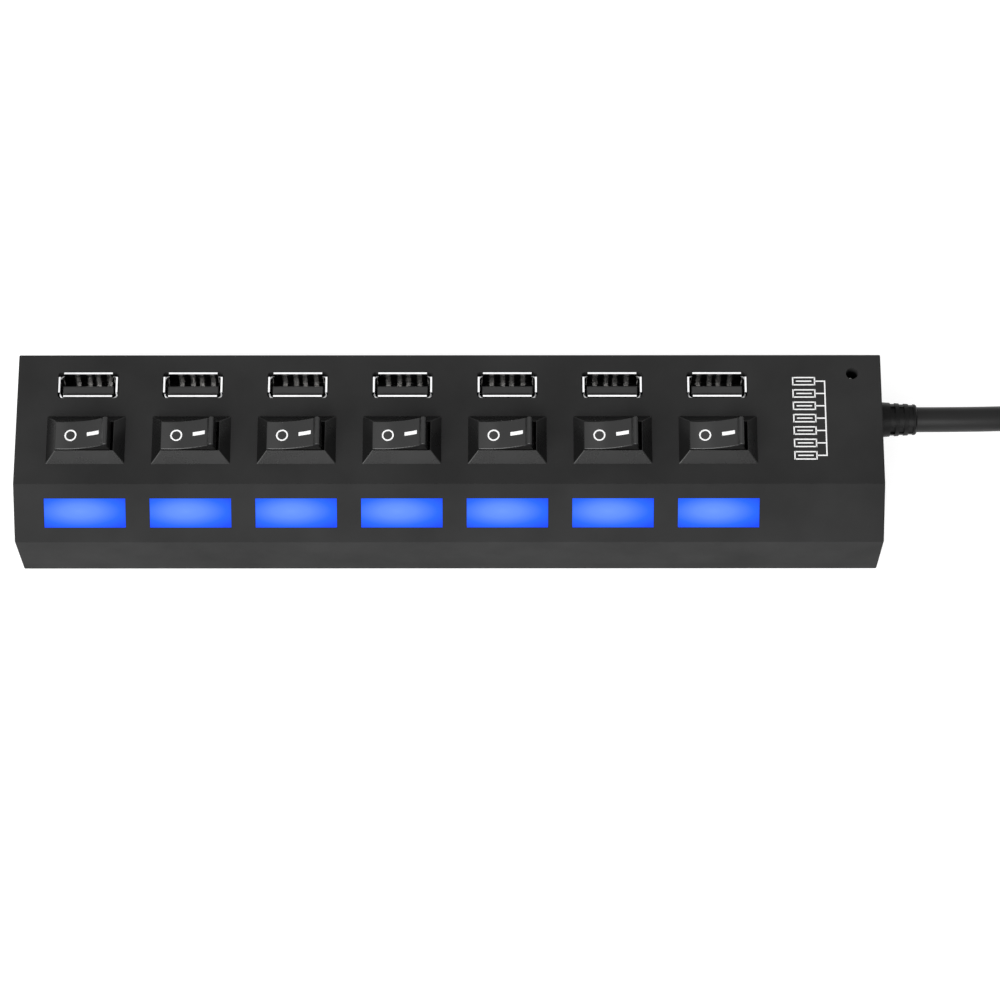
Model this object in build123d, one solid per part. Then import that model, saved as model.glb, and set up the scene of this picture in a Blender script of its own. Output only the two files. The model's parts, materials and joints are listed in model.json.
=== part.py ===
from build123d import *
import math
import os

# A desktop USB hub with seven switched ports, and its cable. Millimetres.
# +X runs along the hub to the cable end, +Y to the back, +Z up. The origin is on the table,
# under the middle of the hub.

os.makedirs("parts", exist_ok=True)

# ---- Housing ----
LENGTH = 190.0
DEPTH = 42.0
TOP_Z = 24.0
LOWER_EDGE_Z = 0.9  # the feet stand this much below the housing
RIDGE_Y = -9.3  # where the flat top meets the chamfer
BROW_Y, BROW_Z = -20.3, 17.1  # where the chamfer meets the front face
WALL = 2.0
EDGE_R = 0.3
END_X, BACK_Y = LENGTH / 2, DEPTH / 2
ROOF_Z = TOP_Z - WALL  # underside of the roof

# ---- Columns: one socket, one switch and one window each ----
PITCH = 23.05
COLUMN_X = [-10.35 + PITCH * k for k in range(-3, 4)]
SOCKET_Y = 13.87
SWITCH_Y = 0.92

# ---- Circuit board ----
BOARD_Z = 8.6
BOARD_THICK = 1.6
BOARD_TOP = BOARD_Z + BOARD_THICK
BOARD_X = (-88.0, 90.7)
BOARD_Y = (-18.3, 18.7)
PIN_END_Z = 7.6  # soldered pins stop here, below the board

# ---- USB-A socket, mouth upwards ----
SOCKET_W, SOCKET_D = 12.8, 5.56
SHEET = 0.3
SOCKET_R = 1.15
SOCKET_RIM_Z = 22.6  # rim at the corners
LIP_Z = 24.2  # the four straight lips stand proud of the roof
LIP_OUT = 0.1
LIP_LENGTHS = (10.7, 3.65)
SLOT_W, SLOT_D, SLOT_R = 13.35, 6.1, 0.9
TONGUE_W, TONGUE_T = 11.1, 1.84
TONGUE_Y = -1.855  # front face of the tongue, from the socket's middle
TONGUE_TIP_Z = 23.5
INSULATOR_TOP = 12.6
CONTACT_X = (-3.5, -1.0, 1.0, 3.5)
CONTACT_W, CONTACT_T = 1.0, 0.25
CONTACT_Y = -0.24  # up the back of the tongue
CONTACT_PIN_Y = 1.3

# ---- Rocker switch ----
BEZEL_W, BEZEL_D = 17.2, 11.1
BEZEL_Z = 26.65
BEZEL_RIM = 0.08
WELL_W, WELL_D = 12.6, 6.7
BODY_W, BODY_D = 13.4, 8.2
BODY_Z = 13.5
BODY_FLOOR = 0.8
PIVOT_Z = 25.2
REST_TILT = -13.0  # the off end is down, the on end up
CREST_X = (-5.70, 4.66)  # ends of the dished top, from the pivot, with the rocker level
DISH_X, DISH_Z, DISH_R = -0.395, 2.21, 15.46  # its lowest line, and its radius
RIDGE_X, RIDGE_Z, RIDGE_R = 5.61, 3.15, 0.58  # the round ridge along the on end
UNDERCUT_X, UNDERCUT_Z = 5.74, 2.93  # it overhangs the side, which starts here
HEEL_X, HEEL_Z = 5.80, -0.10
ROCKER_D = 6.4
PIN_R, PIN_LONG = 0.6, 0.35
PIN_PLAY = 0.05
NOSE_REACH = 6.0
LEVER_Z = 18.45  # axis that the contact lever rocks about
LEVER_W, LEVER_D, LEVER_T = 8.0, 3.0, 0.5
LEVER_TILT = 6.5
HEAD_R, HEAD_PLAY = 0.25, 0.05  # round head of the common terminal, in the lever's groove
TERMINAL_T, TERMINAL_D = 0.6, 2.5
CONTACT_X_FIXED = -3.4
CONTACT_TOP = 17.2

# ---- Windows in the chamfer ----
WINDOW_W, WINDOW_H = 17.8, 6.56
PAD_PLAY = 0.05
STRIP_H, STRIP_T = 9.0, 1.2

# ---- DC jack ----
JACK_X, JACK_Y = 88.6, 16.5
JACK_MOUTH_R = 1.32
JACK_SIDE = 4.8

# ---- Fastenings ----
BACK_POSTS = ((-89.5, 15.0), (78.0, 15.5))
FRONT_POSTS = ((-89.5, -14.0), (88.0, -14.0))
POST_R, FRONT_POST_TOP = 2.5, 13.0
PLATE_TOP = 2.7
FEET = [(x, y) for x in (-70.0, 70.0) for y in (-13.0, 13.0)]
FOOT_R, FOOT_SUNK = 4.0, 0.5
PILLARS = [(x, y) for x in (-67.97, 1.17, 70.3) for y in (-9.0, 6.5)]

# ---- Cable: leaves the right end, straight and level, and ends in a coil on the table ----
CABLE_D = 5.6
EXIT_Y, EXIT_Z = 10.2, 12.0
RELIEF_END = END_X + 8.75
RELIEF_R = (3.975, 3.42)  # at the housing and at the cable's end
RELIEF_SLOTS = (3.4, 5.4, 7.45)
SLOT_LONG, SLOT_WIDE, SLOT_WALL = 1.1, 1.9, 0.25
SLOT_TURN = 20.0  # from level, at the front
GROOVE = 0.2
COIL_X, COIL_Y = 162.5, -12.6
COIL_R = 28.0  # middle of the turns, five cable diameters
TOP_TURN_Z = CABLE_D / 2 + CABLE_D * math.sin(math.radians(60))
TIE_T, TIE_TURN = 0.5, 12.0
PLUG_START = (COIL_X + 1.0, COIL_Y + 26.9, 14.45)
PLUG_NECK, PLUG_BODY, PLUG_NOSE = 5.0, 16.0, 12.0
PLUG_W, PLUG_H = 15.4, 8.0
NOSE_W, NOSE_H = 12.0, 4.5  # the steel nose, a standard size


def block(x, y, z):
    """A box between two values on each axis."""
    size = [b - a for a, b in (x, y, z)]
    return Pos(*[(a + b) / 2 for a, b in (x, y, z)]) * Box(*size)


def post(x, y, radius, low, high):
    """An upright cylinder."""
    return Pos(x, y, (low + high) / 2) * Cylinder(radius, high - low)


def save(node, *solids):
    shape = solids[0] if len(solids) == 1 else Compound(children=list(solids))
    export_step(shape, f"parts/{node}.step")


def front_y(z):
    """The front face leans back a little as it rises."""
    lean = (BROW_Y + BACK_Y) / (BROW_Z - LOWER_EDGE_Z)
    return BROW_Y - lean * (BROW_Z - z)


def housing_prism(low, length, inset=0.0):
    """The housing's section, from a lower edge at height low, along X."""
    corners = [
        (BACK_Y, low),
        (BACK_Y, TOP_Z),
        (RIDGE_Y, TOP_Z),
        (BROW_Y, BROW_Z),
        (front_y(low), low),
    ]
    face = make_face(Polyline(*corners, close=True))
    if inset:
        face = offset(face, -inset, kind=Kind.INTERSECTION)
    return extrude(Plane.YZ * face, length / 2, both=True)


def chamfer_plane():
    """On the chamfer's middle line, with local y up the slope and local z outwards."""
    run, fall = BROW_Y - RIDGE_Y, BROW_Z - TOP_Z
    return Plane(
        origin=(0, RIDGE_Y + run / 2, TOP_Z + fall / 2),
        x_dir=(1, 0, 0),
        z_dir=(0, fall, -run),
    )


def top_shell():
    outer = housing_prism(LOWER_EDGE_Z, LENGTH)
    upper_edges = [e for e in outer.edges() if e.center().Z > LOWER_EDGE_Z + 0.1]
    outer = fillet(upper_edges, EDGE_R)
    shell = outer - housing_prism(LOWER_EDGE_Z - 2 * WALL, LENGTH - 2 * WALL, WALL)
    for x, y in BACK_POSTS:
        shell += post(x, y, POST_R, PLATE_TOP, ROOF_Z + WALL / 2)
    for x, y in FRONT_POSTS:
        wall_x = math.copysign(END_X - WALL / 2, x)
        web = sorted((x, wall_x))
        shell += post(x, y, POST_R, PLATE_TOP, FRONT_POST_TOP)
        shell += block(web, (y - 0.75, y + 0.75), (PLATE_TOP, FRONT_POST_TOP))
    cuts = [post(x, y, 1.23, 0, 11.0) for x, y in BACK_POSTS + FRONT_POSTS]
    slot = extrude(RectangleRounded(SLOT_W, SLOT_D, SLOT_R), 2 * WALL, both=True)
    for x in COLUMN_X:
        cuts.append(Pos(x, SOCKET_Y, TOP_Z) * slot)
        cuts.append(Pos(x, SWITCH_Y, TOP_Z) * Box(BODY_W + 0.2, BODY_D + 0.2, 3 * WALL))
        cuts.append(chamfer_plane() * Pos(x, 0, 0) * Box(WINDOW_W, WINDOW_H, 3 * WALL))
    cuts.append(post(JACK_X, JACK_Y, JACK_MOUTH_R, ROOF_Z - 1, TOP_Z + 1))
    cuts.append(Pos(END_X, EXIT_Y, EXIT_Z) * Rot(0, 90, 0) * Cylinder(3.25, 3 * WALL))
    return shell - cuts


def base_plate():
    play = 0.15
    end = END_X - WALL - play
    plate = block(
        (-end, end),
        (front_y(LOWER_EDGE_Z) + WALL + 0.25, BACK_Y - WALL - play),
        (LOWER_EDGE_Z, PLATE_TOP),
    )
    for x, y in PILLARS:
        plate += post(x, y, 1.8, PLATE_TOP, BOARD_Z)
    cuts = [post(x, y, FOOT_R + 0.1, 0, LOWER_EDGE_Z + FOOT_SUNK) for x, y in FEET]
    for x, y in BACK_POSTS + FRONT_POSTS:
        cuts += [post(x, y, 2.4, 0, 1.9), post(x, y, 1.4, 0, PLATE_TOP + 1)]
    return plate - cuts


def circuit_board():
    board = block(BOARD_X, BOARD_Y, (BOARD_Z, BOARD_TOP))
    drilled = [(x, y, POST_R + 0.3) for x, y in BACK_POSTS + FRONT_POSTS]
    for x in COLUMN_X:
        drilled += [(x + c, SOCKET_Y + CONTACT_PIN_Y, 0.6) for c in CONTACT_X]
        side = SOCKET_W / 2 - SHEET / 2
        drilled += [(x + s * side, SOCKET_Y, 0.75) for s in (-1, 1)]
        drilled += [(x + t, SWITCH_Y, 0.6) for t in (0.0, CONTACT_X_FIXED)]
    return board - [post(x, y, r, BOARD_Z - 1, BOARD_TOP + 1) for x, y, r in drilled]


def socket_shell():
    """Folded steel sheet: a tube with four lips at its mouth and sprung flaps in its walls."""
    inner_w, inner_d = SOCKET_W - 2 * SHEET, SOCKET_D - 2 * SHEET
    ring = RectangleRounded(SOCKET_W, SOCKET_D, SOCKET_R)
    ring -= RectangleRounded(inner_w, inner_d, SOCKET_R - SHEET)
    shell = Pos(0, 0, BOARD_TOP) * extrude(ring, SOCKET_RIM_Z - BOARD_TOP)
    foot, out = SOCKET_RIM_Z - 0.6, SHEET + LIP_OUT
    lip = make_face(
        Polyline((0, foot), (SHEET, foot), (out, foot + 0.5), (out, LIP_Z), (0, LIP_Z), close=True)
    )
    for turn in (0, 90, 180, 270):
        long_side = turn % 180 == 0
        reach = (inner_d if long_side else inner_w) / 2
        span = LIP_LENGTHS[0 if long_side else 1]
        bar = extrude(Plane.YZ * Pos(reach, 0) * lip, span / 2, both=True)
        shell += Rot(0, 0, turn) * bar
    flap_z = (15.5, 20.5)
    for x in (-3.2, 3.2):
        front = -SOCKET_D / 2
        gap = block((x - 1.3, x + 1.3), (front - 0.1, front + SHEET + 0.1), flap_z)
        flap = Box(1.8, SHEET, 4.6, align=(Align.CENTER, Align.CENTER, Align.MIN))
        shell -= gap
        shell += Pos(x, front + SHEET / 2, flap_z[0] - 0.1) * Rot(-3, 0, 0) * flap
    for s in (-1, 1):
        side = s * (SOCKET_W / 2 - SHEET / 2)
        half = SHEET / 2
        shell += block((side - half, side + half), (-0.6, 0.6), (PIN_END_Z, BOARD_TOP + 0.5))
    return shell


def socket_insulator():
    w, d = SOCKET_W - 2 * SHEET - 0.2, SOCKET_D - 2 * SHEET - 0.2
    base = block((-w / 2, w / 2), (-d / 2, d / 2), (BOARD_TOP, INSULATOR_TOP))
    base = fillet(base.edges().filter_by(Axis.Z), SOCKET_R - SHEET)
    back = TONGUE_Y + TONGUE_T
    tongue = block((-TONGUE_W / 2, TONGUE_W / 2), (TONGUE_Y, back), (INSULATOR_TOP, TONGUE_TIP_Z))
    tip_edges = tongue.faces().sort_by(Axis.Z)[-1].edges()
    tongue = chamfer(tip_edges.sort_by(Axis.Y)[:-1], 0.15)
    back_edge = tongue.faces().sort_by(Axis.Z)[-1].edges().sort_by(Axis.Y)[-1]
    tongue = chamfer(back_edge, 0.3)
    cuts = []
    for c in CONTACT_X:
        across = (c - 0.6, c + 0.6)
        cuts.append(block(across, (-0.40, back + 0.1), (INSULATOR_TOP, TONGUE_TIP_Z - 0.3)))
        hole_y = (CONTACT_PIN_Y - 0.2, CONTACT_PIN_Y + 0.2)
        cuts.append(block(across, hole_y, (BOARD_TOP - 1, INSULATOR_TOP + 0.1)))
    return base + tongue - cuts


def socket_contact(x):
    """A pin up through the floor, a foot along it, and a strip up the tongue, bowed near its tip."""
    foot_z = INSULATOR_TOP + CONTACT_T / 2
    path = FilletPolyline(
        (x, CONTACT_PIN_Y, PIN_END_Z),
        (x, CONTACT_PIN_Y, foot_z),
        (x, CONTACT_Y, foot_z),
        (x, CONTACT_Y, 17.0),
        (x, 0.42, 21.4),
        (x, CONTACT_Y, 23.0),
        radius=[0.3, 0.3, 3.0, 0.8],
    )
    section = Plane(origin=(x, CONTACT_PIN_Y, PIN_END_Z), z_dir=(0, 0, 1))
    return sweep(section * Rectangle(CONTACT_W, CONTACT_T), path)


def switch_frame():
    """Mitred bezel on the roof, with the switch's body below it, open at the top."""
    rim_w, rim_d = WELL_W + 2 * BEZEL_RIM, WELL_D + 2 * BEZEL_RIM
    bezel = loft([
        Plane.XY.offset(TOP_Z) * Rectangle(BEZEL_W, BEZEL_D),
        Plane.XY.offset(BEZEL_Z) * Rectangle(rim_w, rim_d),
    ])
    mitres = [e for e in bezel.edges() if abs(e.center().Z - (TOP_Z + BEZEL_Z) / 2) < 0.5]
    bezel = fillet(mitres, 0.2)
    frame = bezel + block(
        (-BODY_W / 2, BODY_W / 2), (-BODY_D / 2, BODY_D / 2), (BODY_Z, TOP_Z)
    )
    for turn in (0, 180):
        barb = make_face(
            Polyline((BODY_W / 2 - 0.1, 21.9), (BODY_W / 2 + 0.55, 21.9), (BODY_W / 2 - 0.1, 20.0),
                     close=True)
        )
        frame += Rot(0, 0, turn) * extrude(Plane.XZ * barb, 1.5, both=True)
    well_floor = BODY_Z + BODY_FLOOR
    cuts = [
        block((-WELL_W / 2, WELL_W / 2), (-WELL_D / 2, WELL_D / 2), (well_floor, BEZEL_Z + 1)),
        Pos(0, 0, PIVOT_Z) * Rot(90, 0, 0) * Cylinder(PIN_R + PIN_PLAY, WELL_D + 0.7),
    ]
    for t in (0.0, CONTACT_X_FIXED):
        cuts.append(block((t - 0.35, t + 0.35), (-1.3, 1.3), (BODY_Z - 1, well_floor + 1)))
    return frame - cuts


def rocker():
    """About its pivot, level: a dished top, a ridge along the on end, a nose below and two pins."""
    left, right = [(x, DISH_Z + DISH_R - math.sqrt(DISH_R**2 - (x - DISH_X) ** 2)) for x in CREST_X]
    ridge = [
        (RIDGE_X + RIDGE_R * math.cos(math.radians(a)), RIDGE_Z + RIDGE_R * math.sin(math.radians(a)))
        for a in (150, 90, 0)
    ]
    outline = ThreePointArc(left, (DISH_X, DISH_Z), right)
    outline += Line(right, ridge[0])
    outline += ThreePointArc(*ridge)
    outline += Polyline(ridge[2], (RIDGE_X + 0.49, UNDERCUT_Z), (UNDERCUT_X, UNDERCUT_Z),
                        (HEEL_X, HEEL_Z), (4.8, -1.2), (-4.8, -1.2), (-HEEL_X, HEEL_Z), left)
    body = extrude(Plane.XZ * make_face(outline), ROCKER_D / 2, both=True)
    middles = [(e, e.center()) for e in body.edges()]
    rims = [
        e for e, c in middles
        if abs(c.Y) > ROCKER_D / 2 - 0.01 and c.Z > DISH_Z - 0.1 and c.X < RIDGE_X + 0.2
    ]
    body = fillet(rims, 0.15)
    tip = NOSE_REACH - 0.6
    nose = block((-0.6, 0.6), (-1.2, 1.2), (-tip, -1.0))
    nose += Pos(0, 0, -tip) * Rot(90, 0, 0) * Cylinder(0.6, 2.4)
    pins = Rot(90, 0, 0) * Cylinder(PIN_R, ROCKER_D + 2 * PIN_LONG)
    return body + nose + pins


def contact_lever():
    """About its axis, level: a strip grooved across for the terminal's head, with a button below."""
    strip = block((-LEVER_W / 2, LEVER_W / 2), (-LEVER_D / 2, LEVER_D / 2), (0.05, 0.05 + LEVER_T))
    strip = fillet(strip.edges().filter_by(Axis.Z), 0.6)
    groove = Rot(90, 0, 0) * Cylinder(HEAD_R + HEAD_PLAY, LEVER_D + 1)
    button = Pos(CONTACT_X_FIXED, 0, -0.1) * Cylinder(0.7, 0.4)
    return strip - groove + button


def terminal(x, top):
    """A blade up to a height, with a narrow pin through the board."""
    half, half_pin = TERMINAL_T / 2, 0.4
    shoulder = BOARD_TOP + 0.5
    blade = block((x - half, x + half), (-TERMINAL_D / 2, TERMINAL_D / 2), (shoulder, top))
    return blade + block((x - half, x + half), (-half_pin, half_pin), (PIN_END_Z, shoulder))


def switch_terminals():
    """The common terminal, with the round head that the lever rocks on, and the fixed contact."""
    shoulder = LEVER_Z - 0.5
    common = terminal(0.0, shoulder)
    common += block((-0.15, 0.15), (-TERMINAL_D / 2, TERMINAL_D / 2), (shoulder, LEVER_Z))
    common += Pos(0, 0, LEVER_Z) * Rot(90, 0, 0) * Cylinder(HEAD_R, TERMINAL_D)
    fixed = terminal(CONTACT_X_FIXED, CONTACT_TOP)
    fixed += post(CONTACT_X_FIXED, 0, 0.7, CONTACT_TOP, CONTACT_TOP + 0.4)
    return [common, fixed]


def light_window_strip():
    """One clear moulding behind the chamfer, with a pad flush in each window."""
    margin = WINDOW_W / 2 + 1.0
    ends = (COLUMN_X[0] - margin, COLUMN_X[-1] + margin)
    strip = block(ends, (-STRIP_H / 2, STRIP_H / 2), (-WALL - STRIP_T, -WALL))
    for x in COLUMN_X:
        half_w, half_h = WINDOW_W / 2 - PAD_PLAY, WINDOW_H / 2 - PAD_PLAY
        strip += block((x - half_w, x + half_w), (-half_h, half_h), (-WALL, 0))
    return chamfer_plane() * strip


def led(x):
    body = block((x - 1.75, x + 1.75), (-15.4, -12.6), (BOARD_TOP, BOARD_TOP + 1.2))
    dome = Pos(x, -14.0, BOARD_TOP + 1.2) * scale(Sphere(1.2), by=(1, 1, 0.6))
    return body + dome


def hub_chip(x):
    """A small-outline package with fourteen legs a side."""
    middle_y, half_long, leg_pitch = 0.9, 5.1, 0.65
    body_z = (BOARD_TOP + 0.15, BOARD_TOP + 1.75)
    chip = block((x - 2.65, x + 2.65), (middle_y - half_long, middle_y + half_long), body_z)
    legs = []
    for k in range(14):
        y = middle_y + leg_pitch * (k - 6.5)
        legs.append(block((x - 3.9, x + 3.9), (y - 0.15, y + 0.15), (BOARD_TOP, BOARD_TOP + 0.3)))
    return chip + legs


def capacitors():
    can = post(84.0, -7.0, 2.5, BOARD_TOP, BOARD_TOP + 7.0)
    can = fillet(can.edges().group_by(Axis.Z)[-1], 0.5)
    chips = [
        block((x + 8.5, x + 10.5), (-8.6, -7.35), (BOARD_TOP, BOARD_TOP + 1.2)) for x in COLUMN_X
    ]
    return [can] + chips


def crystal():
    can = extrude(SlotOverall(11.0, 4.5), 3.4)
    return Pos(78.0, 3.0, BOARD_TOP) * fillet(can.edges().group_by(Axis.Z)[-1], 0.4)


def dc_jack():
    half = JACK_SIDE / 2
    top = ROOF_Z - 0.05
    x, y = (JACK_X - half, JACK_X + half), (JACK_Y - half, JACK_Y + half)
    body = block(x, y, (BOARD_TOP, top)) - post(JACK_X, JACK_Y, 1.35, 13.0, top + 1)
    return body, post(JACK_X, JACK_Y, 0.35, 13.0, 20.5)


def screw(x, y):
    head = post(x, y, 2.2, 1.0, 1.9)
    shank = post(x, y, 1.2, 1.9, 9.9)
    cross = [Pos(x, y, 1.0) * Box(a, b, 1.0) for a, b in ((2.4, 0.5), (0.5, 2.4))]
    return head + shank - cross


def foot(x, y):
    pad = post(x, y, FOOT_R, 0, LOWER_EDGE_Z + FOOT_SUNK)
    return fillet(pad.edges().group_by(Axis.Z)[0], 0.4)


def wire(offset_y):
    """One of the four wires, from the cable's end down to its pad on the board."""
    y = EXIT_Y + offset_y
    lie = BOARD_TOP + 0.55
    path = FilletPolyline(
        (END_X - WALL - 1.6, y, EXIT_Z), (88.0, y, EXIT_Z), (86.0, y, lie), (82.5, y, lie), radius=1.0
    )
    section = Plane(origin=(END_X - WALL - 1.6, y, EXIT_Z), z_dir=(-1, 0, 0)) * Circle(0.5)
    return sweep(section, path)


def strain_relief():
    """A tapered sleeve with a flange inside the wall, and three grooves with four slots in each."""
    end = RELIEF_END - END_X
    flange = (-WALL - 1.6, -WALL)
    outline = Polyline(
        (flange[0], 0), (flange[0], 4.3), (flange[1], 4.3), (flange[1], 3.2), (0, 3.2),
        (0, RELIEF_R[0]), (end - 0.3, RELIEF_R[1]), (end, RELIEF_R[1] - 0.27), (end, 0), close=True,
    )
    sleeve = revolve(make_face(outline), Axis.X)
    outside = 2 * RELIEF_R[0]
    taper = (RELIEF_R[0] - RELIEF_R[1]) / (end - 0.3)
    cuts = []
    for middle in RELIEF_SLOTS:
        bottom = RELIEF_R[0] - taper * middle - GROOVE
        ring = Cylinder(outside, SLOT_LONG) - Cylinder(bottom, SLOT_LONG)
        cuts.append(Pos(middle, 0, 0) * Rot(0, 90, 0) * ring)
        slot = block(
            (middle - SLOT_LONG / 2, middle + SLOT_LONG / 2),
            (-outside, -CABLE_D / 2 - SLOT_WALL),
            (-SLOT_WIDE / 2, SLOT_WIDE / 2),
        )
        cuts += [Rot(-SLOT_TURN - quarter, 0, 0) * slot for quarter in (0, 90, 180, 270)]
    return Pos(END_X, EXIT_Y, EXIT_Z) * (sleeve - cuts)


def cord_tube(name, points):
    """Straight runs joined by the largest arcs that the runs allow."""
    runs = [Vector(*b) - Vector(*a) for a, b in zip(points, points[1:])]
    radii = []
    for before, after in zip(runs, runs[1:]):
        half_turn = math.radians(before.get_angle(after)) / 2
        radii.append(0.45 * min(before.length, after.length) / math.tan(half_turn))
    path = FilletPolyline(*points, radius=radii)
    section = Plane(origin=points[0], z_dir=runs[0]) * Circle(CABLE_D / 2)
    tube = sweep(section, path)
    ratio = tube.volume / (math.pi * CABLE_D**2 / 4 * path.length)
    print(name, "length", round(path.length, 1), "radii", [round(r) for r in radii])
    print("volume over that of a plain tube", round(ratio, 3))
    return tube


def on_coil(angle, radius, height):
    a = math.radians(angle)
    return (COIL_X + radius * math.cos(a), COIL_Y + radius * math.sin(a), height)


def cable_lead():
    outer_r = COIL_R + CABLE_D / 2
    return cord_tube("cable_lead", [
        (RELIEF_END, EXIT_Y, EXIT_Z),
        (126.0, EXIT_Y, EXIT_Z),
        (142.5, 14.4, 5.4),
        on_coil(97, outer_r, CABLE_D / 2),
        on_coil(77, outer_r, CABLE_D / 2),
    ])


def cable_tail():
    """The last stretch of the third turn, which climbs over the turn's own start to the plug."""
    x, y, z = PLUG_START
    return cord_tube("cable_tail", [
        on_coil(176, COIL_R, TOP_TURN_Z),
        on_coil(154, COIL_R + 0.4, TOP_TURN_Z + 1.4),
        on_coil(134, COIL_R + 0.4, TOP_TURN_Z + 4.0),
        on_coil(116, COIL_R + 0.3, z - 0.6),
        (x - 5.5, y, z),
        PLUG_START,
    ])


def bundle(radius):
    """Section round three turns: two side by side and one in the groove between them."""
    low = CABLE_D / 2
    middles = Polyline((COIL_R - low, low), (COIL_R + low, low), (COIL_R, TOP_TURN_Z), close=True)
    return offset(make_face(middles), radius, kind=Kind.ARC)


def turned(section, angle):
    """The section swept round the coil's axis, centred on its front."""
    body = revolve(Plane.XZ * section, Axis.Z, angle)
    return Pos(COIL_X, COIL_Y, 0) * Rot(0, 0, -90 - angle / 2) * body


def cable_coil_and_tie():
    raised = Pos(0, 0, TIE_T)  # the tie passes under the turns and lifts them
    band = raised * turned(bundle(CABLE_D / 2 + TIE_T), TIE_TURN)
    filling = raised * turned(bundle(CABLE_D / 2), TIE_TURN + 4)
    tie = band - filling
    coil = turned(bundle(CABLE_D / 2), 360) - band
    coil += filling & band
    return coil, tie


def plug():
    """USB-A plug, lying on the coil and pointing along +X."""
    body_x = (PLUG_NECK, PLUG_NECK + PLUG_BODY)
    grip = block(body_x, (-PLUG_W / 2, PLUG_W / 2), (-PLUG_H / 2, PLUG_H / 2))
    grip = fillet(grip.edges().filter_by(Axis.X), 1.8)
    grip = fillet(grip.faces().sort_by(Axis.X)[0].edges(), 1.2)
    neck_end = PLUG_NECK + 0.5
    outline = Polyline((0, 0), (0, 3.2), (neck_end, PLUG_H / 2 - 0.15), (neck_end, 0), close=True)
    neck = revolve(make_face(outline), Axis.X)
    nose_start, nose_end = body_x[1], body_x[1] + PLUG_NOSE
    ring = Rectangle(NOSE_W, NOSE_H) - Rectangle(NOSE_W - 2 * SHEET, NOSE_H - 2 * SHEET)
    shell = Pos(nose_start, 0, 0) * extrude(Plane.YZ * ring, PLUG_NOSE)
    latch_x = (nose_end - 7.5, nose_end - 5.0)
    for s in (-1, 1):
        shell -= block(latch_x, (s * 3 - 1.25, s * 3 + 1.25), (-NOSE_H, NOSE_H))
    insert = block((nose_start, nose_end - 0.4), (-5.65, 5.65), (-1.9, 0.0))
    strips = []
    for y in CONTACT_X:
        tip = nose_end - (2.3 if abs(y) < 2 else 1.4)  # the power contacts reach further
        strips.append(block((nose_start, tip), (y - 0.5, y + 0.5), (0.0, 0.2)))
    at = Pos(*PLUG_START)
    return at * (grip + neck), at * shell, at * insert, [at * s for s in strips]


save("top_shell", top_shell())
save("base_plate", base_plate())
save("circuit_board", circuit_board())

shell, insulator, frame = socket_shell(), socket_insulator(), switch_frame()
lever_shape, rocker_shape = contact_lever(), rocker()
for number, x in enumerate(COLUMN_X, start=1):
    save(f"usb_shell_{number}", Pos(x, SOCKET_Y, 0) * shell)
    save(f"usb_insulator_{number}", Pos(x, SOCKET_Y, 0) * insulator)
    save(f"switch_frame_{number}", Pos(x, SWITCH_Y, 0) * frame)
    save(f"rocker_{number}", Pos(x, SWITCH_Y, PIVOT_Z) * Rot(0, REST_TILT, 0) * rocker_shape)
    save(f"contact_lever_{number}", Pos(x, SWITCH_Y, LEVER_Z) * Rot(0, LEVER_TILT, 0) * lever_shape)
save("usb_contacts", *[Pos(x, SOCKET_Y, 0) * socket_contact(c) for x in COLUMN_X for c in CONTACT_X])
save("switch_terminals", *[Pos(x, SWITCH_Y, 0) * t for x in COLUMN_X for t in switch_terminals()])

save("light_window_strip", light_window_strip())
save("leds", *[led(x) for x in COLUMN_X])
save("hub_chips", hub_chip(-44.93), hub_chip(24.22))
save("capacitors", *capacitors())
save("crystal", crystal())
jack_body, jack_pin = dc_jack()
save("dc_jack_body", jack_body)
save("dc_jack_pin", jack_pin)
save("screws", *[screw(x, y) for x, y in BACK_POSTS + FRONT_POSTS])
save("feet", *[foot(x, y) for x, y in FEET])

save("cable_wires", *[wire(dy) for dy in (-1.95, -0.65, 0.65, 1.95)])
save("strain_relief", strain_relief())
save("cable_lead", cable_lead())
coil, tie = cable_coil_and_tie()
save("cable_coil", coil)
save("cable_tie", tie)
save("cable_tail", cable_tail())
overmold, plug_shell, plug_insert, plug_strips = plug()
save("plug_overmold", overmold)
save("plug_shell", plug_shell)
save("plug_insert", plug_insert)
save("plug_contacts", *plug_strips)
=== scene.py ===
import json
import math

import bpy
from mathutils import Matrix, Vector


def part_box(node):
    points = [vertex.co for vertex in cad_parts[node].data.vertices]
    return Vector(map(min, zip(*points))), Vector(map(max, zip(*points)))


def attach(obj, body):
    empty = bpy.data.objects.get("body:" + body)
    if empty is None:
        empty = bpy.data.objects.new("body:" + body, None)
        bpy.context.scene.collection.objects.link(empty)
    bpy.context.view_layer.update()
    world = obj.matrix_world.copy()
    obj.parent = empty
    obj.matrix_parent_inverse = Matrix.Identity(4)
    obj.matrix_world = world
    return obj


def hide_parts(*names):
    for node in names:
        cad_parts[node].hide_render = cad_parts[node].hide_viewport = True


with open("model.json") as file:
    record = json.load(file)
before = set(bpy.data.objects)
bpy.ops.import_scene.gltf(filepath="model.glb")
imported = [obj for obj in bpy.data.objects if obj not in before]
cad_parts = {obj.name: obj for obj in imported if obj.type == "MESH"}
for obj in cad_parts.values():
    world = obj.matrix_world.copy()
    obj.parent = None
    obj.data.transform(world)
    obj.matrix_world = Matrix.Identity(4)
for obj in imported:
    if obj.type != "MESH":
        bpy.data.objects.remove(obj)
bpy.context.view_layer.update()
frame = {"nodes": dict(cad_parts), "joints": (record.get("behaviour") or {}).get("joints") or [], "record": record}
NODES = frame["nodes"]
MM = 0.001
COLUMNS = range(1, 8)
WHITE = (1.0, 1.0, 1.0, 1.0)
ORIGIN = Vector((0, 0, 0))
ROOF_Z = 24.0 * MM  # the housing's flat top

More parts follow.
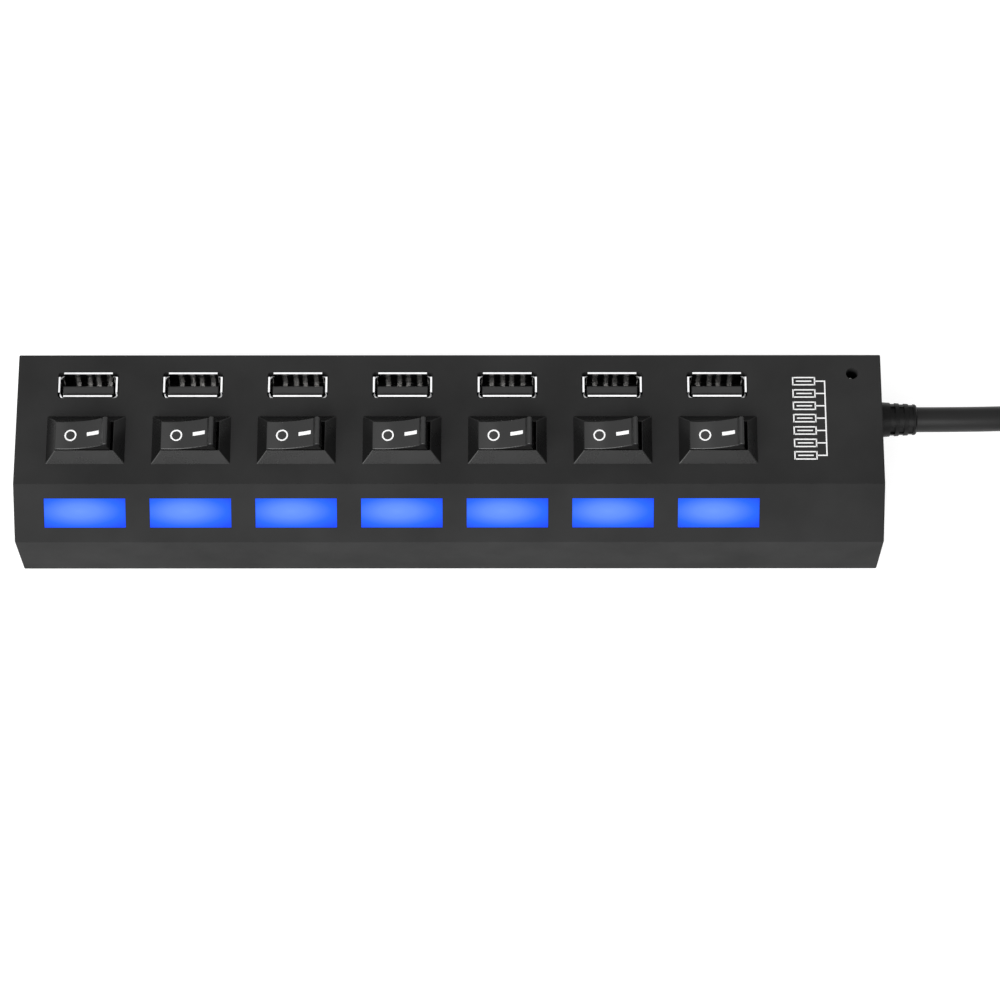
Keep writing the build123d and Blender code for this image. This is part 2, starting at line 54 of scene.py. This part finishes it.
# Places that come from the frame
PIVOTS = {j["child"]: Vector(j["pos_m"]) for j in frame["joints"]}
PITCH = (PIVOTS["rocker_7"].x - PIVOTS["rocker_1"].x) / 6


# ---------------------------------------------------------------- camera

LENS, SENSOR = 123.05, 36.0  # millimetres
CAMERA_PLACE = (0.01096, -0.26168, 0.72405)
CAMERA_FORWARD = (0.00016, 0.33472, -0.94232)


def make_camera():
    """The viewing angle: about 70 degrees down, from in front, with a long lens."""
    data = bpy.data.cameras.new("camera")
    data.lens = LENS
    data.sensor_width = SENSOR
    camera = bpy.data.objects.new("camera", data)
    bpy.context.scene.collection.objects.link(camera)
    camera.location = CAMERA_PLACE
    camera.rotation_euler = Vector(CAMERA_FORWARD).to_track_quat("-Z", "Y").to_euler()
    bpy.context.scene.camera = camera


make_camera()


# ---------------------------------------------------------------- shader helpers

class Shader:
    """A node material, built up a node at a time around one Principled shader."""

    def __init__(self, name):
        self.material = bpy.data.materials.new(name)
        self.material.use_nodes = True
        self.tree = self.material.node_tree
        self.principled = self.tree.nodes["Principled BSDF"]
        self.place = self.node("ShaderNodeTexCoord").outputs["Object"]

    def node(self, kind, **values):
        node = self.tree.nodes.new(kind)
        for key, value in values.items():
            setattr(node, key, value)
        return node

    def link(self, source, target):
        self.tree.links.new(source, target)

    def set(self, **values):
        for key, value in values.items():
            socket = self.principled.inputs[key.replace("_", " ")]
            if isinstance(value, bpy.types.NodeSocket):
                self.link(value, socket)
            else:
                socket.default_value = value

    def math(self, operation, a, b=0.0):
        """A Math node on one or two values, each a number or a socket."""
        node = self.node("ShaderNodeMath", operation=operation)
        for socket, value in zip(node.inputs, (a, b)):
            if isinstance(value, bpy.types.NodeSocket):
                self.link(value, socket)
            else:
                socket.default_value = value
        return node.outputs[0]

    def noise(self, size, detail=3.0, roughness=0.5, place=None):
        """Noise whose features are about size metres across."""
        node = self.node("ShaderNodeTexNoise")
        self.link(place or self.place, node.inputs["Vector"])
        node.inputs["Scale"].default_value = 1.0 / size
        node.inputs["Detail"].default_value = detail
        node.inputs["Roughness"].default_value = roughness
        return node.outputs["Fac"]

    def ramp(self, value, *stops):
        """A colour ramp through (position, colour) stops."""
        node = self.node("ShaderNodeValToRGB")
        self.link(value, node.inputs["Fac"])
        elements = node.color_ramp.elements
        while len(elements) < len(stops):
            elements.new(0.5)
        for element, (position, colour) in zip(elements, stops):
            element.position = position
            element.color = (*colour, 1.0)
        return node.outputs["Color"]

    def spread(self, value, low, high, start=0.3, end=0.7):
        """A value between start and end, moved to between low and high."""
        node = self.node("ShaderNodeMapRange")
        self.link(value, node.inputs["Value"])
        for key, number in (("From Min", start), ("From Max", end), ("To Min", low), ("To Max", high)):
            node.inputs[key].default_value = number
        return node.outputs["Result"]

    def bump(self, height, depth):
        """Relief of this depth in metres, raised where height is 1."""
        node = self.node("ShaderNodeBump")
        self.link(height, node.inputs["Height"])
        node.inputs["Distance"].default_value = depth
        node.inputs["Strength"].default_value = 1.0
        return node.outputs["Normal"]


def grey(value):
    return (value, value, value)


CLOUD_SIZE, CLOUD_SPREAD = 18 * MM, 0.15  # the spread is how far the shade goes up and down, as a share
GLOSS_SIZE, GLOSS_SPREAD = 6 * MM, 0.08  # the same for the roughness


def plastic(name, shade, roughness, grain, depth, specular=0.5):
    """Moulded plastic: a fine sparked grain, cloudy shade, and gloss that varies a little.

    grain and depth are the size and the relief of the grain in metres."""
    s = Shader(name)
    clouds = s.noise(CLOUD_SIZE, detail=4)
    grains = s.noise(grain, detail=2, roughness=0.6)
    darker, lighter = grey(shade * (1 - CLOUD_SPREAD)), grey(shade * (1 + CLOUD_SPREAD))
    s.set(
        Base_Color=s.ramp(clouds, (0.3, darker), (0.7, lighter)),
        Roughness=s.spread(
            s.noise(GLOSS_SIZE), roughness * (1 - GLOSS_SPREAD), roughness * (1 + GLOSS_SPREAD)
        ),
        Specular_IOR_Level=specular,
        Normal=s.bump(grains, depth),
    )
    return s.material


STREAK_SIZE = 0.6 * MM
STREAK_SCALE = (1.0, 1.0, 12.0)  # streaks are this many times thinner in height, so they lie level
STREAK_DEPTH = 0.001  # millimetres, on metal that isn't brushed
PAINTED_SHADE_SHARE = 0.45  # share of the colour left where the painted shade is deepest
PAINTED_SHADE_BAND = 0.5 * MM  # the height over which the painted shade fades in


def metal(name, colour, roughness, brushed=0.0, painted_shade_below=None):
    """Plated metal, with faint streaks and small changes of gloss; painted shade darkens its colour below a
    height, standing in for the shadow deep in a socket.

    brushed is the extra depth of the streaks in millimetres."""
    s = Shader(name)
    mapping = s.node("ShaderNodeMapping")
    mapping.inputs["Scale"].default_value = STREAK_SCALE
    s.link(s.place, mapping.inputs["Vector"])
    streaks = s.noise(STREAK_SIZE, place=mapping.outputs["Vector"])
    darker = tuple(c * 0.9 for c in colour)
    shade = s.ramp(s.noise(3 * MM), (0.3, darker), (0.7, colour))
    # Painted shade: below the given height the colour is darkened, standing in for the shadow on the rims and
    # walls deep in the socket slots
    if painted_shade_below:
        split = s.node("ShaderNodeSeparateXYZ")
        s.link(s.place, split.inputs["Vector"])
        start = painted_shade_below - PAINTED_SHADE_BAND
        shade_factor = s.spread(split.outputs["Z"], PAINTED_SHADE_SHARE, 1.0, start, painted_shade_below)
        shaded_colour = s.node("ShaderNodeVectorMath", operation="SCALE")
        s.link(shade, shaded_colour.inputs[0])
        s.link(shade_factor, shaded_colour.inputs["Scale"])
        shade = shaded_colour.outputs["Vector"]
    s.set(
        Base_Color=shade,
        Metallic=1.0,
        Roughness=s.spread(streaks, roughness * 0.85, roughness * 1.25),
        Normal=s.bump(streaks, (STREAK_DEPTH + brushed) * MM),
    )
    return s.material


# ---------------------------------------------------------------- materials

PAD_HALF_X, PAD_HALF_Y = 8.9 * MM, 2.78 * MM  # half of a lit pad, seen from above
PAD_MIDDLE_Y = -14.8 * MM
GLOW_SHIFT = 0.12  # the brightest place is this share of a half pad to the left and to the back
CORNER_SCALE = 0.7  # makes the distance from the middle to a corner about 1


def window_material():
    """Clear moulding lit from behind: pale near the middle of each pad and deep blue at its edges."""
    s = Shader("lit_window")
    first_x = PIVOTS["rocker_1"].x
    split = s.node("ShaderNodeSeparateXYZ")
    s.link(s.place, split.inputs["Vector"])
    along = s.math("DIVIDE", s.math("SUBTRACT", split.outputs["X"], first_x), PITCH)
    across = s.math("SUBTRACT", along, s.math("ROUND", along))  # from the middle of the nearest pad
    u = s.math("DIVIDE", across, PAD_HALF_X / PITCH)
    v = s.math("DIVIDE", s.math("SUBTRACT", split.outputs["Y"], PAD_MIDDLE_Y), PAD_HALF_Y)
    shifted_u = s.math("ADD", u, GLOW_SHIFT)
    shifted_v = s.math("SUBTRACT", v, GLOW_SHIFT)
    squared = s.math(
        "ADD", s.math("MULTIPLY", shifted_u, shifted_u), s.math("MULTIPLY", shifted_v, shifted_v)
    )
    far = s.math("MULTIPLY", s.math("SQRT", squared), CORNER_SCALE)
    glow = s.ramp(
        far,
        (0.0, (0.155, 0.330, 1.0)),
        (0.32, (0.115, 0.275, 1.0)),
        (0.70, (0.012, 0.135, 0.95)),
        (1.0, (0.001, 0.060, 0.88)),
    )
    s.set(
        Base_Color=(0.002, 0.008, 0.20, 1.0),
        Roughness=s.spread(s.noise(1.2 * MM), 0.28, 0.36),
        Specular_IOR_Level=0.05,
        Emission_Color=glow,
        Emission_Strength=0.95,
        Normal=s.bump(s.noise(0.25 * MM), 0.002 * MM),
    )
    return s.material


def print_material(name, colour):
    """Pad-printed ink, a little worn and uneven."""
    s = Shader(name)
    worn = s.noise(0.5 * MM, detail=5, roughness=0.7)
    thin = tuple(c * 0.82 for c in colour)
    s.set(
        Base_Color=s.ramp(worn, (0.25, thin), (0.45, colour)),
        Roughness=s.spread(worn, 0.42, 0.55),
        Normal=s.bump(worn, 0.004 * MM),
    )
    return s.material


TRACKS_PER_METRE = 260.0


def board_material():
    """Green solder mask over a raised pattern that stands for tracks."""
    s = Shader("solder_mask")
    tracks = s.node("ShaderNodeTexBrick")
    s.link(s.place, tracks.inputs["Vector"])
    tracks.inputs["Scale"].default_value = TRACKS_PER_METRE
    tracks.inputs["Color1"].default_value = (0.010, 0.090, 0.040, 1.0)
    tracks.inputs["Color2"].default_value = (0.012, 0.110, 0.050, 1.0)
    tracks.inputs["Mortar"].default_value = (0.016, 0.150, 0.070, 1.0)
    tracks.inputs["Mortar Size"].default_value = 0.03
    s.set(
        Base_Color=tracks.outputs["Color"],
        Roughness=s.spread(s.noise(4 * MM), 0.3, 0.4),
        Normal=s.bump(tracks.outputs["Fac"], 0.01 * MM),
    )
    return s.material


PAINTED_SHADE_BELOW = 23.8 * MM  # the socket shells get painted shade below this, just under the housing's flat top, where their rims and walls lie in shadow

# plastic: name, shade, roughness, size and depth of the grain; metal: name, colour, roughness
MATERIALS = {
    "housing": plastic("housing_plastic", 0.021, 0.5, 0.22 * MM, 0.010 * MM, specular=0.02),
    "bezel": plastic("bezel_plastic", 0.0055, 0.28, 0.35 * MM, 0.0015 * MM, specular=0.42),
    "rocker": plastic("rocker_plastic", 0.007, 0.30, 0.25 * MM, 0.003 * MM, specular=0.72),
    # socket steel: its colour is darkened below the given height as painted shade for the shadow in the slots
    "socket_steel": metal("socket_steel", (0.90, 0.90, 0.91), 0.13, painted_shade_below=PAINTED_SHADE_BELOW),
    "socket_plastic": plastic("socket_plastic", 0.026, 0.45, 0.2 * MM, 0.006 * MM, specular=0.25),
    "contact_metal": metal("contact_metal", (0.76, 0.75, 0.73), 0.26),
    "board": board_material(),
    "window_light": window_material(),
    "led": plastic("led_resin", 0.7, 0.2, 0.4 * MM, 0.002 * MM),
    "chip": plastic("chip_plastic", 0.018, 0.5, 0.1 * MM, 0.008 * MM),
    "component_metal": metal("component_metal", (0.75, 0.76, 0.78), 0.3),
    "screw_steel": metal("screw_steel", (0.38, 0.38, 0.40), 0.33, brushed=0.004),
    "rubber": plastic("foot_rubber", 0.014, 0.78, 0.5 * MM, 0.02 * MM, specular=0.3),
    "cable_jacket": plastic("cable_jacket", 0.010, 0.40, 0.6 * MM, 0.006 * MM, specular=0.22),
    "tie": plastic("tie_rubber", 0.012, 0.7, 0.3 * MM, 0.02 * MM, specular=0.3),
}
SPECIAL = {  # nodes darker than the rest of their slot
    "strain_relief": plastic("relief_rubber", 0.0045, 0.42, 0.5 * MM, 0.006 * MM, specular=0.16),
    "dc_jack_body": plastic("jack_plastic", 0.003, 0.5, 0.2 * MM, 0.006 * MM, specular=0.1),
}
for subpart in frame["record"]["subparts"]:
    node = subpart["node"]
    mesh = NODES[node].data
    mesh.materials.clear()
    mesh.materials.append(SPECIAL.get(node) or MATERIALS[subpart["material_slot"]])


# ---------------------------------------------------------------- the cable

def add_curve(name, points, radius):
    """One smooth open curve with these control points, as a round cord."""
    data = bpy.data.curves.new(name, "CURVE")
    data.dimensions = "3D"
    data.resolution_u = 8
    data.bevel_depth = radius
    data.bevel_resolution = 8
    data.use_fill_caps = True
    spline = data.splines.new("NURBS")
    spline.points.add(len(points) - 1)
    for point, place in zip(spline.points, points):
        point.co = (*place, 1.0)
    spline.order_u = 3
    spline.use_endpoint_u = True
    piece = bpy.data.objects.new(name, data)
    bpy.context.scene.collection.objects.link(piece)
    return piece


CABLE_D = 5.6 * MM
COIL_LOW, COIL_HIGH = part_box("cable_coil")
COIL_X = (COIL_LOW.x + COIL_HIGH.x) / 2
COIL_Y = (COIL_LOW.y + COIL_HIGH.y) / 2
COIL_R = 28.0 * MM
COIL_OUTER, COIL_INNER = COIL_R + CABLE_D / 2, COIL_R - CABLE_D / 2
COIL_TURNED = 980  # degrees in all
TOP_TURN_Z = CABLE_D / 2 + CABLE_D * math.sin(math.radians(60))  # it lies in the groove of two others
OVER_TIE = 0.67 * MM  # how far the tie lifts the turns that lie on it
STRAIGHT_TO_X = 0.1260  # the lead runs straight this far
LEAD_BEND = (0.1425, 0.0144, 0.0054)  # a point on its way down to the floor
LEAD_MEETS_COIL = 97  # degrees


def on_coil(angle, radius, height):
    """A place round the coil's middle, with the angle in degrees from +X."""
    a = math.radians(angle)
    return (COIL_X + radius * math.cos(a), COIL_Y + radius * math.sin(a), height)


def coil_turns():
    """Clockwise from above: an outer turn, an inner one beside it, and most of one in the groove on top."""
    step = 20
    inside = 0.75 + 0.25 * math.cos(math.radians(step))  # the curve cuts this far inside its points
    low = CABLE_D / 2
    stages = [  # turned so far in degrees, radius, height
        (0, COIL_OUTER, low),
        (285, COIL_OUTER, low),
        (345, COIL_INNER, low),
        (650, COIL_INNER, low),
        (705, COIL_R, TOP_TURN_Z),
        (1080, COIL_R, TOP_TURN_Z),
    ]
    points = []
    for turned in range(step, COIL_TURNED + 1, step):
        before = max(s for s in stages if s[0] <= turned)
        after = min(s for s in stages if s[0] > turned)
        share = (turned - before[0]) / (after[0] - before[0])
        radius, height = (b + (a - b) * share for a, b in zip(after[1:], before[1:]))
        if turned % 360 == 180:
            height += OVER_TIE
        points.append(on_coil(90 - turned, radius / inside, height))
    return points


def make_cable():
    """The cable in one length: out of the strain relief, round the coil and up into the plug."""
    relief_low, relief_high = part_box("strain_relief")
    exit_x = relief_high.x
    exit_y = (relief_low.y + relief_high.y) / 2
    exit_z = (relief_low.z + relief_high.z) / 2
    plug_low, plug_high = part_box("plug_overmold")
    plug_point = Vector((plug_low.x, (plug_low.y + plug_high.y) / 2, (plug_low.z + plug_high.z) / 2))
    route = [
        (exit_x, exit_y, exit_z),
        (STRAIGHT_TO_X, exit_y, exit_z),
        LEAD_BEND,
        on_coil(LEAD_MEETS_COIL, COIL_OUTER, CABLE_D / 2),
    ]
    route += coil_turns()
    route += [  # off the top turn and up to the plug, which lies on the coil
        on_coil(154, COIL_R + 0.4 * MM, TOP_TURN_Z + 1.4 * MM),
        on_coil(134, COIL_R + 0.4 * MM, TOP_TURN_Z + 4.0 * MM),
        on_coil(116, COIL_R + 0.3 * MM, plug_point.z - 0.6 * MM),
        (plug_point.x - 5.5 * MM, plug_point.y, plug_point.z),
        tuple(plug_point),
    ]
    cable = add_curve("cable", route, CABLE_D / 2)
    cable.data.materials.append(MATERIALS["cable_jacket"])
    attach(cable, "hub")
    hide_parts("cable_lead", "cable_coil", "cable_tail")


make_cable()


# ---------------------------------------------------------------- printed marks

def flat_mesh(name, outlines, surface, thick):
    """Closed outlines in a plane, each made into a thin slab that lies on a surface.

    surface turns a point of the plane and a height above it into a place."""
    verts, faces = [], []
    for outline in outlines:
        start, count = len(verts), len(outline)
        verts += [surface(u, v, 0.0) for u, v in outline]
        verts += [surface(u, v, thick) for u, v in outline]
        faces.append([start + count + k for k in range(count)])
        faces.append([start + k for k in reversed(range(count))])
        for k in range(count):
            after = (k + 1) % count
            faces.append([start + k, start + after, start + count + after, start + count + k])
    mesh = bpy.data.meshes.new(name)
    mesh.from_pydata(verts, [], faces)
    mesh.update()
    piece = bpy.data.objects.new(name, mesh)
    bpy.context.scene.collection.objects.link(piece)
    return piece


def bar_strips(u0, u1, v0, v1, step=None):
    """A rectangle, cut along u into strips about step long where it has to follow a curved surface."""
    count = round((u1 - u0) / step) if step else 1
    cuts = [u0 + (u1 - u0) * k / count for k in range(count + 1)]
    return [[(a, v0), (b, v0), (b, v1), (a, v1)] for a, b in zip(cuts, cuts[1:])]


def ring_strips(u, v, outer, inner, count=48):
    """A ring as short strips round its middle."""
    turns = [2 * math.pi * k / count for k in range(count + 1)]
    strips = []
    for a, b in zip(turns, turns[1:]):
        corners = [(outer, a), (outer, b), (inner, b), (inner, a)]
        strips.append([(u + r * math.cos(t), v + r * math.sin(t)) for r, t in corners])
    return strips


INK = print_material("white_ink", grey(0.68))
INK_THICK, SIGN_THICK = 0.03 * MM, 0.02 * MM
REST_TILT = math.radians(-13)
DISH_X, DISH_Z = -0.395 * MM, 2.21 * MM  # the dish's lowest line, from the pivot, with the rocker level
DISH_R = 15.46 * MM
# The marks lie along the rocker at these distances from its pivot
RING_U, RING_OUTER, RING_INNER = -2.53 * MM, 1.30 * MM, 0.98 * MM
BAR_U, BAR_HALF, BAR_STEP = (1.2 * MM, 4.1 * MM), 0.41 * MM, 0.3 * MM


def rocker_marks(number):
    """The off ring and the on bar, on the rocker's dished top."""
    body = f"rocker_{number}"
    turn = Matrix.Rotation(REST_TILT, 4, "Y")

    def surface(u, v, height):
        dished = DISH_Z + DISH_R - math.sqrt(DISH_R**2 - (u - DISH_X) ** 2)
        return PIVOTS[body] + turn @ Vector((u, v, dished + height))

    ring = ring_strips(RING_U, 0, RING_OUTER, RING_INNER)
    bar = bar_strips(*BAR_U, -BAR_HALF, BAR_HALF, BAR_STEP)
    marks = flat_mesh(f"rocker_marks_{number}", ring + bar, surface, INK_THICK)
    marks.data.materials.append(INK)
    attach(marks, body)


for column in COLUMNS:
    rocker_marks(column)


def hub_pictogram():
    """Seven port outlines on a comb: a plain sign for a hub, beside the jack."""
    middle_u, middle_v = 78.9 * MM, 6.0 * MM

    def surface(u, v, height):
        return Vector((middle_u + u, middle_v + v, ROOF_Z + height))

    line = 0.14 * MM  # half of a line's width
    spacing, spine = 2.9 * MM, 3.6 * MM
    port_u, port_v = (-3.4 * MM, 1.4 * MM), 0.85 * MM  # an outline's two ends, and half of its width
    inset = 0.7 * MM  # of the tongue in an outline
    outlines = bar_strips(spine - line, spine + line, -3 * spacing - line, 3 * spacing + line)
    for k in range(-3, 4):
        v = k * spacing
        outlines += bar_strips(port_u[1], spine - line, v - line, v + line)
        for edge in (-port_v, port_v):
            outlines += bar_strips(*port_u, v + edge - line, v + edge + line)
        for edge in port_u:
            outlines += bar_strips(edge - line, edge + line, v - port_v - line, v + port_v + line)
        outlines += bar_strips(port_u[0] + inset, port_u[1] - inset, v - line, v + line)
    sign = flat_mesh("hub_pictogram", outlines, surface, SIGN_THICK)
    sign.data.materials.append(INK)
    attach(sign, "hub")


hub_pictogram()


# ---------------------------------------------------------------- floor and light

FLOOR_HALF = 3.0
FLOOR_GLOW = 0.82
WORLD_STRENGTH = 0.58


def make_floor():
    """White paper that glows a little, so that it stays white where light is short."""
    mesh = bpy.data.meshes.new("floor")
    corners = [(x * FLOOR_HALF, y * FLOOR_HALF, 0) for x, y in ((-1, -1), (1, -1), (1, 1), (-1, 1))]
    mesh.from_pydata(corners, [], [(0, 1, 2, 3)])
    floor = bpy.data.objects.new("floor", mesh)
    bpy.context.scene.collection.objects.link(floor)
    s = Shader("floor_paper")
    s.set(
        Base_Color=s.ramp(s.noise(0.3), (0.3, grey(0.30)), (0.7, grey(0.32))),
        Roughness=0.9,
        Specular_IOR_Level=0.0,
        Emission_Color=WHITE,
        Emission_Strength=FLOOR_GLOW,
    )
    mesh.materials.append(s.material)


def make_world():
    world = bpy.data.worlds.new("studio")
    world.use_nodes = True
    background = world.node_tree.nodes["Background"]
    background.inputs["Color"].default_value = WHITE
    background.inputs["Strength"].default_value = WORLD_STRENGTH
    bpy.context.scene.world = world


def area_light(name, place, size, power):
    """A rectangular light that faces the origin; size in metres, power in watts."""
    data = bpy.data.lights.new(name, "AREA")
    data.shape = "RECTANGLE"
    data.size, data.size_y = size
    data.energy = power
    light = bpy.data.objects.new(name, data)
    bpy.context.scene.collection.objects.link(light)
    light.location = place
    light.rotation_euler = (ORIGIN - Vector(place)).to_track_quat("-Z", "Y").to_euler()


make_floor()
make_world()
area_light("key", (-0.42, -0.76, 0.80), (1.7, 1.2), 28)
area_light("overhead", (0, 0.38, 1.07), (0.5, 0.2), 0.23)
bpy.context.scene.view_settings.view_transform = "Standard"

bpy.context.view_layer.update()
